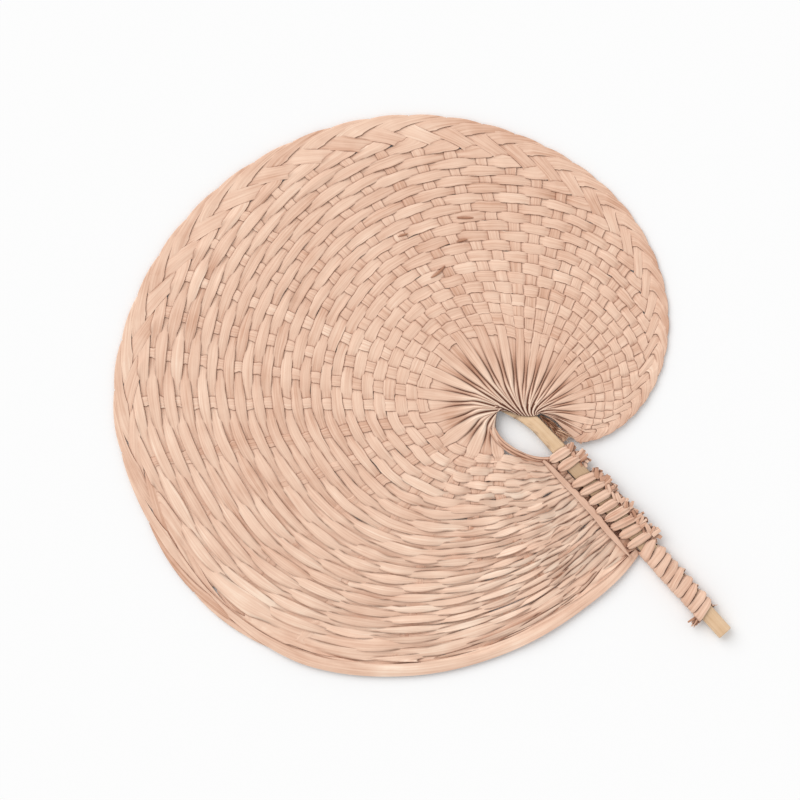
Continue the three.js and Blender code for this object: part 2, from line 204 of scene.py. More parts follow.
# one procedural finish for all the plant pieces, from their own attributes
def plantFinish(name, look):
    finish = bpy.data.materials.new(name)
    finish.use_nodes = True
    tree = finish.node_tree
    shader = tree.nodes["Principled BSDF"]

    def put(kind, **values):
        node = tree.nodes.new("ShaderNode" + kind)
        for key, value in values.items():
            setattr(node, key, value)
        return node

    def attribute(key):
        return put("Attribute", attribute_name=key).outputs["Fac"]

    def feed(socket, value):
        if isinstance(value, bpy.types.NodeSocket):
            tree.links.new(value, socket)
        else:
            socket.default_value = value

    def sums(operation, a, b, clamp=False):
        node = put("Math", operation=operation, use_clamp=clamp)
        feed(node.inputs[0], a)
        feed(node.inputs[1], b)
        return node.outputs[0]

    def streaks(length, width, detail):
        place = put("CombineXYZ")
        feed(place.inputs["X"], sums("DIVIDE", attribute("along"), length))
        feed(place.inputs["Y"], sums("DIVIDE", attribute("across"), width))
        feed(place.inputs["Z"], sums("MULTIPLY", attribute("strip"), look["fibreChange"]))
        noise = put("TexNoise")
        feed(noise.inputs["Vector"], place.outputs[0])
        feed(noise.inputs["Scale"], 1.0)
        feed(noise.inputs["Detail"], detail)
        return noise.outputs["Fac"]

    def blend(amount, a, b):
        node = put("Mix", data_type="RGBA")
        feed(node.inputs["Factor"], amount)
        feed(node.inputs["A"], a)
        feed(node.inputs["B"], b)
        return node.outputs["Result"]

    def swayed(noise, amount):
        return sums("MULTIPLY", sums("SUBTRACT", noise, 0.5), amount)

    # tone of the strip, its fibres and cloudy patches go through one ramp of colours
    fibre = streaks(look["fibreLength"], look["fibreWidth"], look["fibreDetail"])
    cloud = put("TexNoise")
    feed(cloud.inputs["Vector"], put("TexCoord").outputs["Object"])
    feed(cloud.inputs["Scale"], look["cloudScale"])
    feed(cloud.inputs["Detail"], look["cloudDetail"])
    shade = sums("ADD", attribute("tone"), swayed(fibre, look["fibreTone"]))
    shade = sums("ADD", shade, swayed(cloud.outputs["Fac"], look["cloudTone"]))
    ramp = put("ValToRGB")
    feed(ramp.inputs["Fac"], shade)
    stops = ramp.color_ramp.elements
    for i, (place, colour) in enumerate(look["colours"]):
        stop = stops[i] if i < 2 else stops.new(place)
        stop.position = place
        stop.color = (*colour, 1)
    # painted shade along the strips' edges and in the gaps between them; on the stalk the same mix also draws
    # its real dark specks
    grooved = sums("MULTIPLY", attribute("groove"), 1.0, True)
    colour = blend(grooved, ramp.outputs["Color"], (*look["groove"], 1))
    # painted shade in the crevices: the colour darkens where ambient occlusion finds the surface hidden from
    # the room
    creviceShade = put("AmbientOcclusion", samples=look["creviceSamples"])
    feed(creviceShade.inputs["Distance"], look["creviceReach"] * mm)
    hidden = sums("POWER", sums("SUBTRACT", 1.0, creviceShade.outputs["AO"]), look["crevicePower"])
    colour = blend(sums("MULTIPLY", hidden, look["creviceTone"], True), colour, (*look["creviceShade"], 1))
    feed(shader.inputs["Base Color"], colour)
    # fine ribs along the fibres
    bump = put("Bump")
    feed(bump.inputs["Strength"], look["bump"])
    feed(bump.inputs["Distance"], look["bumpDepth"] * mm)
    feed(bump.inputs["Height"], streaks(look["ribLength"], look["ribWidth"], look["ribDetail"]))
    feed(shader.inputs["Normal"], bump.outputs["Normal"])
    rough = put("MapRange")
    feed(rough.inputs["Value"], fibre)
    feed(rough.inputs["To Min"], look["rough"][0])
    feed(rough.inputs["To Max"], look["rough"][1])
    feed(shader.inputs["Roughness"], rough.outputs["Result"])
    feed(shader.inputs["Specular IOR Level"], look["gloss"])
    feed(shader.inputs["Sheen Weight"], look["sheen"])
    return finish


leafLook = {
    "colours": [
        (0.0, (0.38, 0.17, 0.095)),
        (0.3, (0.64, 0.36, 0.24)),
        (0.55, (0.8, 0.52, 0.38)),
        (0.8, (0.9, 0.63, 0.475)),
        (1.0, (0.98, 0.76, 0.6)),
    ],
    # colour of the painted shade at strip edges and gaps, and of the stalk's real specks
    "groove": (0.1, 0.028, 0.006),
    "fibreLength": 30.0, "fibreWidth": 0.8, "fibreDetail": 3.0, "fibreTone": 0.9,
    "fibreChange": 7.31,  # from one strip to the next
    "cloudScale": 70.0, "cloudDetail": 4.0, "cloudTone": 0.45,
    # the colour, reach and strength of the painted crevice shade
    "creviceShade": (0.22, 0.045, 0.012),
    "creviceReach": 1.1, "crevicePower": 1.05, "creviceTone": 1.4, "creviceSamples": 6,
    "ribLength": 60.0, "ribWidth": 0.36, "ribDetail": 2.0, "bump": 0.6, "bumpDepth": 0.22,
    "rough": (0.45, 0.72), "gloss": 0.36, "sheen": 0.08,
}
stalkLook = dict(
    leafLook,
    colours=[
        (0.0, (0.32, 0.17, 0.08)),
        (0.3, (0.55, 0.34, 0.185)),
        (0.55, (0.725, 0.49, 0.295)),
        (0.8, (0.82, 0.59, 0.385)),
        (1.0, (0.89, 0.68, 0.5)),
    ],
    fibreLength=46.0, fibreWidth=0.42, fibreTone=0.6, cloudScale=120.0, cloudTone=0.4,
    ribLength=92.0, ribWidth=0.189, creviceShade=(0.16, 0.08, 0.04), gloss=0.42, rough=(0.38, 0.62),
)
ribLook = dict(
    leafLook,
    colours=[
        (0.0, (0.34, 0.17, 0.1)),
        (0.3, (0.58, 0.33, 0.22)),
        (0.55, (0.74, 0.46, 0.33)),
        (0.8, (0.83, 0.56, 0.42)),
        (1.0, (0.9, 0.66, 0.5)),
    ],
    fibreLength=60.0, fibreWidth=0.3, ribLength=120.0, ribWidth=0.135, gloss=0.42, rough=(0.38, 0.6),
)
# the tied strips get deeper, darker painted crevice shade
tiedLook = dict(leafLook, creviceShade=(0.11, 0.024, 0.006), creviceReach=2.2, creviceTone=2.1)
webLook = dict(
    leafLook,
    colours=[
        (0.0, (0.06, 0.028, 0.014)),
        (0.3, (0.16, 0.075, 0.04)),
        (0.55, (0.3, 0.15, 0.085)),
        (0.8, (0.48, 0.27, 0.165)),
        (1.0, (0.66, 0.43, 0.29)),
    ],
    fibreTone=0.7, gloss=0.2, rough=(0.7, 0.95),
)
leafFinish = plantFinish("driedLeaf", leafLook)
stalkFinish = plantFinish("leafStalk", stalkLook)
ribFinish = plantFinish("leafRib", ribLook)
tiedFinish = plantFinish("tiedLeaf", tiedLook)
webFinish = plantFinish("brownFibre", webLook)
print("finishes made")


# quads between rings of points, and the two ends where the band is open
def bandFaces(rings, across, closed):
    around = 2 * across
    i = np.arange(rings if closed else rings - 1)[:, None]
    m = np.arange(around)[None]
    n = (m + 1) % around
    k = (i + 1) % rings
    faces = np.stack([i * around + m, i * around + n, k * around + n, k * around + m], -1).reshape(-1, 4)
    if closed:
        return faces
    j = np.arange(across - 1)
    start = np.stack([j + 1, j, around - 1 - j, around - 2 - j], -1)
    end = np.stack([j, j + 1, around - 2 - j, around - 1 - j], -1) + (rings - 1) * around
    return np.concatenate([faces, start, end])


# a strip between an upper and a lower grid of points, as (points, faces, facts)
def band(upper, lower, strip, tone=0.55, groove=0.0, closed=False):
    rings, across = upper.shape[:2]
    middle = (upper + lower)[:, across // 2] / 2
    steps = np.linalg.norm(np.diff(middle, axis=0), axis=1)
    along = np.concatenate([[0], np.cumsum(steps)])
    width = np.median(np.linalg.norm(upper[:, -1] - upper[:, 0], axis=-1))
    grid = np.ones((rings, across))
    facts = {
        "along": grid * along[:, None],
        "across": grid * np.linspace(0, width, across),
        "strip": grid * strip,
        "tone": grid * np.asarray(tone),
        "groove": grid * np.asarray(groove),
    }
    points = np.concatenate([upper, lower[:, ::-1]], 1).reshape(-1, 3)
    facts = {key: np.concatenate([value, value[:, ::-1]], 1).ravel() for key, value in facts.items()}
    return points, bandFaces(rings, across, closed), facts


sharpEdge = 55  # degrees, from which an edge isn't smoothed over


# several bands as one piece on the CAD body
def addPiece(name, bands, finish, slot, *nodes):
    points, faces, facts, first = [], [], {}, 0
    for bandPoints, bandQuads, bandFacts in bands:
        points.append(bandPoints)
        faces.extend((bandQuads + first).tolist())
        first += len(bandPoints)
        for key, value in bandFacts.items():
            facts.setdefault(key, []).append(value)
    mesh = bpy.data.meshes.new(name)
    mesh.from_pydata(((np.concatenate(points) + hub) * mm).tolist(), [], faces)
    for key, values in facts.items():
        layer = mesh.attributes.new(key, "FLOAT", "POINT")
        layer.data.foreach_set("value", np.concatenate(values).astype(np.float32))
    mesh.polygons.foreach_set("use_smooth", [True] * len(mesh.polygons))
    mesh.set_sharp_from_angle(angle=math.radians(sharpEdge))
    mesh.materials.append(finish)
    piece = bpy.data.objects.new(name, mesh)
    bpy.context.collection.objects.link(piece)
    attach(piece, "root")
    if nodes:
        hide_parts(*nodes)


# Leaf segments: pleat at the hub, warp out to the rim, fold, weft round to the stalk
leaf = {
    "thickness": 0.34,
    "across": 9,
    "lift": (0.42, 0.58),  # of a strip over or under another, in close cells and open ones
    "flatness": (0.45, 0.9),
    "dome": (0.06, 0.24),
    "domePower": 2.5,
    "crease": 0.2,
    "foldRadius": 0.36,
    "openPitch": (9, 21),  # of the warps, from close cells to open ones
    "evenWarps": (12, 22),  # up to these, both sets of strips show alike
    "waist": 0.12,  # by which a strip on top is drawn in there
    "crowdWidth": 8.0,
    "crowdShare": (1.25, 1.75),  # of its row, where a weft of that width crowds the warps flat
    "tone": 0.6,
    "toneSpread": 0.05,  # from strip to strip
    "toneWander": 0.07,  # along a strip
    "toneLength": 20.0,
    "bare": 0.5,  # share of the width without painted edge shade
}
sides = np.linspace(-1, 1, leaf["across"])  # from a strip's left edge to its right one


# rings of a strip from its plan and the heights that vary along it
def leafBand(k, parts):
    def joined(key):
        values = [np.broadcast_to(part.get(key, 0.0), len(part["plan"])) for part in parts]
        return np.concatenate(values)[:, None]

    plan = np.concatenate([part["plan"] for part in parts])
    outward = plan / np.linalg.norm(plan, axis=-1, keepdims=True)
    turn = joined("turn")
    rounded = joined("dome") * (1 - np.abs(sides) ** leaf["domePower"])
    folded = joined("ridge") * (1 - 2 * np.abs(sides))
    height = bladeHeight(plan) + joined("lift") + rounded + folded + joined("roll") * sides
    swell = leaf["foldRadius"] * np.sin(turn) + joined("scallop") * (1 - sides**2)
    plan = plan + outward * swell[..., None]
    middle = np.concatenate([plan, height[..., None]], -1)
    upright = np.broadcast_to(np.cos(turn)[..., None], height[..., None].shape)
    half = np.concatenate([-outward * np.sin(turn)[..., None], upright], -1) * leaf["thickness"] / 2
    # tone wanders from strip to strip and along each one
    dice = np.random.default_rng(400 + k)
    steps = np.linalg.norm(np.diff(middle[:, leaf["across"] // 2], axis=0), axis=1)
    run = np.concatenate([[0], np.cumsum(steps)])[:, None]
    tone = leaf["tone"] + dice.normal(0, leaf["toneSpread"])
    tone = tone + leaf["toneWander"] * waver(500 + k, run / leaf["toneLength"]) + joined("tone")
    # painted shade towards the strip's edges, outside its bare middle
    bare = leaf["bare"] + joined("bare")
    groove = joined("groove") * np.clip((np.abs(sides) - bare) / (1 - bare), 0, 1)
    return band(middle + half, middle - half, k, tone, groove)


# 0 where the warps lie close together, 1 where they stand well apart
def openness(beside):
    return fade(beside, *leaf["openPitch"])


# how far the wefts crowd together over the warps, from their pitch
def crowded(pitch):
    return fade(leaf["crowdWidth"] / pitch, *leaf["crowdShare"])


# how far both sets of strips show alike, near the first segments
def evenness(u):
    return 1 - fade(u, *leaf["evenWarps"])


# 1 on top of a crossing strip, -1 below it
def crossing(x, flatness):
    wave = np.cos(np.pi * x)
    return np.sign(wave) * np.abs(wave) ** flatness


# the two edges of a strip waver on their own
def ragged(seed, x, amount):
    left, right = (amount * waver(seed + side, x * 2.3)[:, None] for side in (0, 5000))
    return left * np.maximum(-sides, 0) + right * np.maximum(sides, 0)


# Pleats: folded bundles at the stalk's head, flat strips where the weave begins; shares along a pleat
pleat = {
    "steps": 36,
    "join": 0.3,  # it curls up to here and then runs straight
    "bundle": 3,  # pleats that lie together at the hub
    "bundleEnd": 0.34,
    "half": 0.52,  # of the pitch
    "halfEnd": (0.85, 1),
    "sway": 0.1,
    "ragged": 0.04,
    "height": 0.75,
    "steepness": 0.5,
    "opens": (0.15, 0.75),
    "rise": 2.1,
    "riseEnd": 0.5,
    "layer": 0.3,
    "layerEnd": (0.75, 1),
    "lap": 0.24,  # every second pleat lies over its neighbours
    "lapAlong": (0.2, 0.45, 0.95),
    # painted shade on the pleats that lie below their neighbours
    "lapShade": 0.34,
    "domeAlong": (0.5, 1),
    # painted shade in the grooves between the pleats, fading out towards the weave
    "groove": 1.25,
    "grooveEnd": (0.5, 0.9),
    "bare": (-0.19, 0.33),
    "bareAlong": (0.15, 0.78),
    "bareWander": 0.1,
    "tone": -0.02,
    "hubHighlight": 0.46,  # painted highlight near the hub, where the pleats stand in ridges
    "hubHighlightEnd": 0.65,
}
# where the pleats leave the stalk: place, direction and pull, against the segment's number
rootX = [(0, 4.6), (10, 2.4), (20, -1.6), (30, -5.6), (36, -8.2), (43, -11.2)]
rootY = [(0, -8.8), (10, -8.2), (20, -5.2), (30, -0.4), (36, 4.6), (43, 11.2)]
rootAngle = [(0, 96), (10, 93), (20, 96), (30, 104), (43, 128)]
rootPull = [(0, 6), (6, 9), (14, 13), (30, 16), (43, 10)]
# where the straight runs of the segments would meet the hub
originX = [(0, 7.5), (8, 5.5), (14, 1.5), (20, -2.9), (27, -6.8), (33, -11), (37, -15), (40, -17.5)]
originY = [(0, -9.5), (8, -6.5), (14, -4), (20, 0), (27, 10), (33, 15), (37, 13), (40, 10)]


# a segment from the stalk's head (s = 0) to its first weft, or the hole's side (s = 1)
def hubPath(u, s):
    start = np.array([follow(rootX, u), follow(rootY, u)])
    pull = polar(follow(rootAngle, u), follow(rootPull, u))
    if u <= lastWarp:
        origin = np.array([follow(originX, u), follow(originY, u)])
        run = weavePoint(u, 0.5) - origin
        join = pleat["join"]
        end, push = origin + run * join, run * join
    else:
        join = 1.0
        radius = edgingRadius(u, fan["edgingAngle"])
        end, push = polar(fan["edgingAngle"], radius), polar(fan["edgingAngle"] + 90, radius)
    t = np.clip(s / join, 0, 1)[:, None]
    return swing(start, end, pull, push, t) + push * np.maximum(s[:, None] / join - 1, 0)


def pleatPart(k, endHalf, endLift):
    s = np.linspace(0, 1, pleat["steps"] + 1)[:-1]
    slack = s * (1 - s)
    woven = k <= lastWarp
    low = max(k - 0.5, 0 if woven else lastWarp + 1)
    high = min(k + 0.5, lastWarp if woven else fan["segments"])
    step = (hubPath(high, s) - hubPath(low, s)) / (high - low)
    # folded pleats stand in small bundles at the stalk, then spread and flatten
    place = k % pleat["bundle"] - (pleat["bundle"] - 1) / 2
    bunched = 1 - fade(s, 0, pleat["bundleEnd"])
    shift = place * bunched + pleat["sway"] * waver(1900 + k, s * 5) * slack
    middle = hubPath(k, s) - step * shift[:, None]
    # every second one comes to lie over its neighbours as a flat strip
    upper = 1 - 2 * (k % 2) if woven else 0
    first, full, last = pleat["lapAlong"]
    parted = fade(s, first, full) * (1 - fade(s, full, last))
    half = mix(pleat["half"], 0.5 * pleat["bundle"], bunched) + pleat["lap"] * parted * max(upper, 0)
    half = mix(half, endHalf, fade(s, *pleat["halfEnd"])) + pleat["ragged"] * waver(1950 + k, s * 4) * slack
    steepest = pleat["steepness"] * np.linalg.norm(step, axis=1) * half
    layer = pleat["layer"] * (waver(2050 + k, s * 2) - abs(place) * bunched)
    layer = mix(layer + leaf["lift"][0] * upper * parted, endLift, fade(s, *pleat["layerEnd"]))
    bare = mix(*pleat["bare"], fade(s, *pleat["bareAlong"]))
    # the tone carries a painted highlight near the hub and painted shade on the pleats lying below
    tone = pleat["tone"] + pleat["hubHighlight"] * (1 - fade(s, 0, pleat["hubHighlightEnd"]))
    return {
        "plan": middle[:, None] - step[:, None] * (half[:, None] * sides)[..., None],
        "ridge": np.minimum(pleat["height"], steepest) * (1 - fade(s, *pleat["opens"])),
        "lift": pleat["rise"] * (1 - fade(s, 0, pleat["riseEnd"])) + layer,
        "dome": leaf["dome"][0] * fade(s, *pleat["domeAlong"]),
        "groove": pleat["groove"] * (1 - fade(s, *pleat["grooveEnd"])),
        "bare": bare + pleat["bareWander"] * waver(2100 + k, s * 3) * s,
        "tone": tone - pleat["lapShade"] * parted * max(-upper, 0),
    }


# Warps: from the first weft out to the rim
warpStrip = {
    "steps": 6,
    "width": 6.3,
    "fill": (0.95, 1.14),  # of the warp pitch at most, inside and in the border
    "borderWidth": (6.5, 11.0),  # the strips flatten out in the border
    "borderStart": (-2.8, -1.2),  # in rows from the strip's own fold
    "borderless": 4,  # the first warps come to it by steps
    "drift": 0.03,
    "ragged": 0.03,
    "roll": 0.1,
    # warps slightly darker in the main weave; lighter in the first segments, painted light by the way they
    # run
    "tone": (-0.04, 0.02),
    "sunk": 0.7,  # the last warps lie below the wefts
    "sunkWarps": (32, 36),
    "sunkRows": (7, 13),
}


def warpHalf(k, v):
    beside = pitches(k, v)[0]
    border = fade(v - k, *warpStrip["borderStart"]) * fade(k, 0, warpStrip["borderless"])
    width = mix(warpStrip["width"], mix(*warpStrip["borderWidth"], borderAt(k)), border)
    return np.minimum(mix(*warpStrip["fill"], border), width / beside) / 2


def warpPart(k):
    v = np.linspace(0.5, k - 0.5, warpStrip["steps"] * (k - 1) + 1)
    beside, pitch = pitches(k, v)
    loose = openness(beside)
    over = -crossing(v - k + 0.5, mix(*leaf["flatness"], loose))
    half = warpHalf(k, v) * (1 - leaf["waist"] * evenness(k) * over)
    drift = warpStrip["drift"] * waver(700 + k, v * 0.9)
    sunk = warpStrip["sunk"] * fade(k, *warpStrip["sunkWarps"]) * fade(v, *warpStrip["sunkRows"])
    edge = half[:, None] * sides + ragged(900 + k, v, warpStrip["ragged"])
    return {
        "plan": weavePoint((k + drift)[:, None] - edge, v[:, None]),
        "lift": mix(*leaf["lift"], loose) * (1 - crowded(pitch)) * over - sunk,
        "dome": mix(*leaf["dome"], loose),
        "roll": warpStrip["roll"] * waver(800 + k, v),
        "ridge": leaf["crease"] * waver(850 + k, v * 0.6),
        "tone": mix(*warpStrip["tone"], evenness(k)),
    }


# Wefts: from the fold round to the stalk; spans called Warps count from the fold unless it says otherwise
weftStrip = {
    "steps": 12,
    "width": [(5, 5.2), (14, 5.6), (20, 5.8), (27, 6.4), (32, 6.9), (36, 6.1), (43, 5.2)],  # against u
    "uneven": 0.07,
    "drawn": 0.8,  # narrower where the rows are wide
    "drawnRows": (4.5, 6.0),
    "drawnWarps": (20, 28),  # of all warps
    "borderWidth": (7.5, 12.5),
    "borderWarps": (1.6, 3.2),  # where it leaves the border
    "leastFill": 1.04,  # of the weft pitch, so that the rows meet
    "cover": (1.88, 1.28),  # of the weft pitch over a warp, in the open weave and near the stalk
    "borderCover": 1.05,
    "coverWarps": (2.8, 4.8),
    "drawnIn": (1.08, 1.15),  # of the weft pitch between two warps, in the same places
    "gatherFill": 2.0,
    "gatherWarps": (0, 1.5),  # past the last one
    "bluntness": 0.65,  # below 1 the strips keep their width up to the next warp
    "messyWarps": (1, 8),  # of the bent ones
    "stray": (0.07, 0.41),
    "hurry": 0.05,  # the later wefts rise and dip sooner towards the stalk
    "hurryWefts": (12, 20),
    "crimp": 0.9,  # more lift where they crowd the warps flat
    "roll": 0.6,  # of the width that doesn't lie flat
    "rollMost": 0.95,
    "rollLift": 0.6,
    "rollSway": (0.3, 0.9),
    "rollWander": 0.12,
    "drift": 0.04,
    "messyDrift": 0.22,
    "gatherDrift": 0.6,
    "steadyWefts": 5,  # the first ones drift less
    "steadiness": 0.2,
    "ragged": 0.07,
    "outShift": 0.28,  # of a row, by which the outermost band keeps to the rim
    "outWarps": (1.3, 2.7),
    # painted shade in the gaps where the strips dive, in the loose and messy weave
    "groove": 0.42,
    "messyGroove": 0.45,
    "bare": 0.15,
    # painted highlight on weft floats that lie on top
    "overHighlight": 0.03,
    # painted shade on the wefts in the first segments, where the warps get painted light
    "evenShade": 0.03,
    "messyTone": 0.13,
    "messyWander": 0.11,
    # painted shade on the wefts' ends as they run in under the splint and lashings
    "endShade": 0.3,
    "endWarps": (2.3, 2.9),  # past the last one
}
# this weft lies along the rim over the last turns
rimRoll = {
    "weft": 33,
    "warps": (1, 3),
    "outset": 0.05,
    "width": 7.0,
    "lift": 1.2,
    "shade": 0.14,
    "neighbours": 0.9,  # by which those on either side are broader
}


# width of a weft laid flat, and what shows of it over the warps and between them
def weftWidths(k, u, pitch, over, blunt, messy, gather):
    drawn = weftStrip["drawn"] * fade(pitch, *weftStrip["drawnRows"]) * fade(u, *weftStrip["drawnWarps"])
    border = mix(*weftStrip["borderWidth"], borderAt(u))
    inside = fade(u - k, *weftStrip["borderWarps"])
    flat = mix(border, follow(weftStrip["width"], u) - drawn, inside)
    flat = flat * (1 + weftStrip["uneven"] * waver(1000 + k, u * 1.1))
    flat = np.maximum(flat, weftStrip["leastFill"] * pitch * inside)
    cover = mix(*weftStrip["cover"], messy)
    cover = mix(weftStrip["borderCover"], cover, fade(u - k, *weftStrip["coverWarps"]))
    between = mix(mix(*weftStrip["drawnIn"], messy), weftStrip["gatherFill"], gather)
    wide = np.minimum(flat, cover * pitch)
    slim = np.minimum(flat, between * pitch)
    shown = mix(slim, wide, np.abs(over) ** blunt)
    return flat, shown * (1 - leaf["waist"] * evenness(u) * over)


def weftPart(k, u):
    row = k + 0.5
    beside, pitch = pitches(u, row)
    loose = openness(beside)
    gather = fade(u - lastWarp, *weftStrip["gatherWarps"])
    messy = fade(u - bendStart, *weftStrip["messyWarps"])
    clear = fade(u - k, 1, 2)  # of its fold
    sooner = weftStrip["hurry"] * fade(k, *weftStrip["hurryWefts"]) * np.maximum(u - bendStart, 0) ** 2
    phase = u - k - 1 + sooner + mix(*weftStrip["stray"], messy) * waver(1050 + k, u)
    over = crossing(phase, mix(*leaf["flatness"], loose)) * (1 - gather)
    # a strip spreads over a warp and is drawn in between two
    blunt = mix(1, weftStrip["bluntness"], loose * (1 - messy))
    flat, shown = weftWidths(k, u, pitch, over, blunt, messy, gather)
    half = shown / pitch / 2
    edge = half[:, None] * sides + ragged(1600 + k, u * 1.5, weftStrip["ragged"]) * clear[:, None]
    roll = weftStrip["roll"] * np.sqrt(np.maximum(flat**2 - shown**2, 0))
    still, sway = weftStrip["rollSway"]
    roll = np.minimum(roll, weftStrip["rollMost"]) * messy * (still + sway * waver(1100 + k, u * 2.1))
    roll = roll + weftStrip["rollWander"] * waver(1200 + k, u)
    # it leaves the middle of its row where the weave is loose
    drift = weftStrip["messyDrift"] * messy + weftStrip["gatherDrift"] * gather
    drift = weftStrip["drift"] + drift * mix(weftStrip["steadiness"], 1, fade(k, 0, weftStrip["steadyWefts"]))
    drift = drift * waver(1300 + k, u * 1.7) * clear
    drift = drift + weftStrip["outShift"] * borderAt(u) * (1 - fade(u - k, *weftStrip["outWarps"]))
    lift = mix(*leaf["lift"], loose) * (1 + weftStrip["crimp"] * crowded(pitch)) * over
    onRim = fade(u - k, *rimRoll["warps"])
    rolled = onRim * (k == rimRoll["weft"])
    if abs(k - rimRoll["weft"]) == 1:
        edge = edge * (1 + rimRoll["neighbours"] * onRim)[:, None]
    if k == rimRoll["weft"]:
        rim = np.minimum(u, lastWarp) + rimRoll["outset"]
        drift = mix(drift, rim - row, rolled)
        edge = mix(edge, rimRoll["width"] / 2 * sides / pitches(u, rim)[1][:, None], rolled[:, None])
        lift = mix(lift, rimRoll["lift"], rolled)
    # painted shade where the wefts dive
    groove = weftStrip["groove"] * loose + weftStrip["messyGroove"] * messy
    # painted highlight on floats lying on top; painted shade on the wefts near the first segments and at
    # their ends
    tone = weftStrip["overHighlight"] * over - weftStrip["evenShade"] * evenness(u)
    tone = tone + messy * (weftStrip["messyTone"] + weftStrip["messyWander"] * waver(1500 + k, u * 1.1))
    tone = tone - weftStrip["endShade"] * fade(u - lastWarp, *weftStrip["endWarps"])
    return {
        "plan": weavePoint(u[:, None], (row + drift)[:, None] - edge),
        "half": half,
        "lift": lift + np.abs(roll) * weftStrip["rollLift"] + gather * waver(1400 + k, u * 2),
        "dome": mix(*leaf["dome"], loose),
        "roll": roll,
        "turn": np.pi,
        "ridge": leaf["crease"] * waver(1450 + k, u * 0.6),
        "groove": groove * (1 - np.abs(over)) * (1 - rolled),
        "bare": weftStrip["bare"],
        "tone": tone - rimRoll["shade"] * rolled,
    }


# Folds: a strip turns over at the rim, from warp to weft
rimFold = {
    "fill": 0.98,  # of a row
    "firstStart": 0.3,  # the first segment has no warp and folds from here
    "scallop": 0.7,
    "steps": 12,
    "turnRings": 4,
    "tones": (-0.04, -0.09, -0.03),  # before, at and after the rim
}


def wovenLeaf(k):
    lift, dome, radius = leaf["lift"][1], leaf["dome"][1], leaf["foldRadius"]
    row, half = k + 0.5, rimFold["fill"] / 2
    begin = k - 0.5 if k else rimFold["firstStart"]
    before, at, after = rimFold["tones"]
    pleatLift = leaf["lift"][0] * (1 - 2 * (k % 2)) if k else 0.0
    parts = [pleatPart(k, warpHalf(k, 0.5), pleatLift)]
    if k:
        parts.append(warpPart(k))
    # mitred turn: the sides reach the rim one after the other
    t = np.linspace(0, 1, rimFold["steps"])[1:, None]
    rim = row - half * sides
    turned = k - mix(warpHalf(k, begin), half, t) * sides
    parts.append({
        "plan": weavePoint(turned, mix(np.minimum(begin, turned + 0.5), rim, t)),
        "lift": mix(-lift if k else 0.0, -radius, ease(t[:, 0])),
        "dome": dome * (1 - t[:, 0]),
        "scallop": rimFold["scallop"] * t[:, 0] ** 2,
        "tone": mix(before, at, t[:, 0]),
    })
    rings = rimFold["turnRings"]
    turn = np.pi * np.arange(1, rings + 1) / (rings + 1)
    parts.append({
        "plan": np.tile(weavePoint(k - half * sides, rim), (rings, 1, 1)),
        "lift": -radius * np.cos(turn),
        "turn": turn,
        "scallop": rimFold["scallop"],
        "tone": at,
    })
    end = lastWarp + fan["gatherPlaces"]
    rest = weftPart(k, np.linspace(k + 1, end, max(weftStrip["steps"] * (end - k - 1), 1) + 1))
    restHalf = rest.pop("half")[0]
    t = np.linspace(0, 1, weftStrip["steps"])[:-1, None]
    outer = row + weftStrip["outShift"] * borderAt(k + 1) * t
    parts.append({
        "plan": weavePoint(mix(k - half * sides, k + 1, t), outer - mix(half, restHalf, t) * sides),
        "lift": mix(radius, lift, ease(t[:, 0])),
        "dome": dome * t[:, 0],
        "turn": np.pi,
        "scallop": rimFold["scallop"] * (1 - t[:, 0]) ** 2,
        "tone": mix(at, after, t[:, 0]),
    })
    parts.append(rest)
    return leafBand(k, parts)


# Edging: the last segments run bare round the hole and down to the stalk
edging = {
    "steps": 40,
    "endAngle": 256.0,
    "startHalf": 0.6,
    "half": 0.56,
    "uneven": 0.12,
    "layer": 0.3,
    "wave": 0.4,
    "roll": 0.6,
    # painted shade along the edging strips' edges
    "groove": 0.5,
    "tone": -0.2,
    "toneWander": 0.14,
}


def edgingLeaf(k):
    t = np.linspace(0, 1, edging["steps"])
    endRadius = edgingRadius(k, edging["endAngle"])
    endAngle = 270 - math.degrees(math.asin(fan["gatherOffset"] / endRadius))
    angle = mix(fan["edgingAngle"], endAngle, t)
    half = edging["half"] + edging["uneven"] * waver(1600 + k, t * 9)
    layer = edging["layer"] * (k - lastWarp)
    bare = {
        "plan": polar(angle[:, None], edgingRadius(k - half[:, None] * sides, angle[:, None])),
        "lift": layer + edging["wave"] * waver(1800 + k, t * 8),
        "dome": leaf["dome"][1],
        "roll": edging["roll"] * waver(1700 + k, t * 7),
        "groove": edging["groove"],
        "tone": edging["tone"] + edging["toneWander"] * waver(1750 + k, t * 6),
    }
    return leafBand(k, [pleatPart(k, edging["startHalf"], layer), bare])


for k in range(fan["segments"]):
    strip = wovenLeaf(k) if k <= lastWarp else edgingLeaf(k)
    number = f"{k + 1:02d}"
    addPiece("leafStrip_" + number, [strip], leafFinish, "leaf", "leaf_segment_" + number)
print("leaf segments woven:", fan["segments"])

rightward = np.array([1.0, 0.0, 0.0])
upward = np.array([0.0, 0.0, 1.0])
foldPace = 6.5  # of the lengthwise creases across a strip


# a strip along a path: side points to the path's left, out away from what it lies on
def pathBand(
    path, side, out, halfWidth, thickness, strip,
    across=5, dome=0.0, tilt=0.0, folds=0.0, **facts,
):
    t = np.linspace(1, -1, across)
    side, out = (np.broadcast_to(way, path.shape)[:, None] for way in (side, out))
    halfWidth, dome, tilt = (np.broadcast_to(size, len(path))[:, None] for size in (halfWidth, dome, tilt))
    rise = dome * (1 - t**2) + tilt * t + folds * np.cos(foldPace * t + strip)
    middle = path[:, None] + side * (halfWidth * t)[..., None] + out * rise[..., None]
    half = out * thickness / 2
    return band(middle + half, middle - half, strip, **facts)


slivers = {"rings": 7, "curl": 25.0, "droop": 1.6, "dome": 0.1}


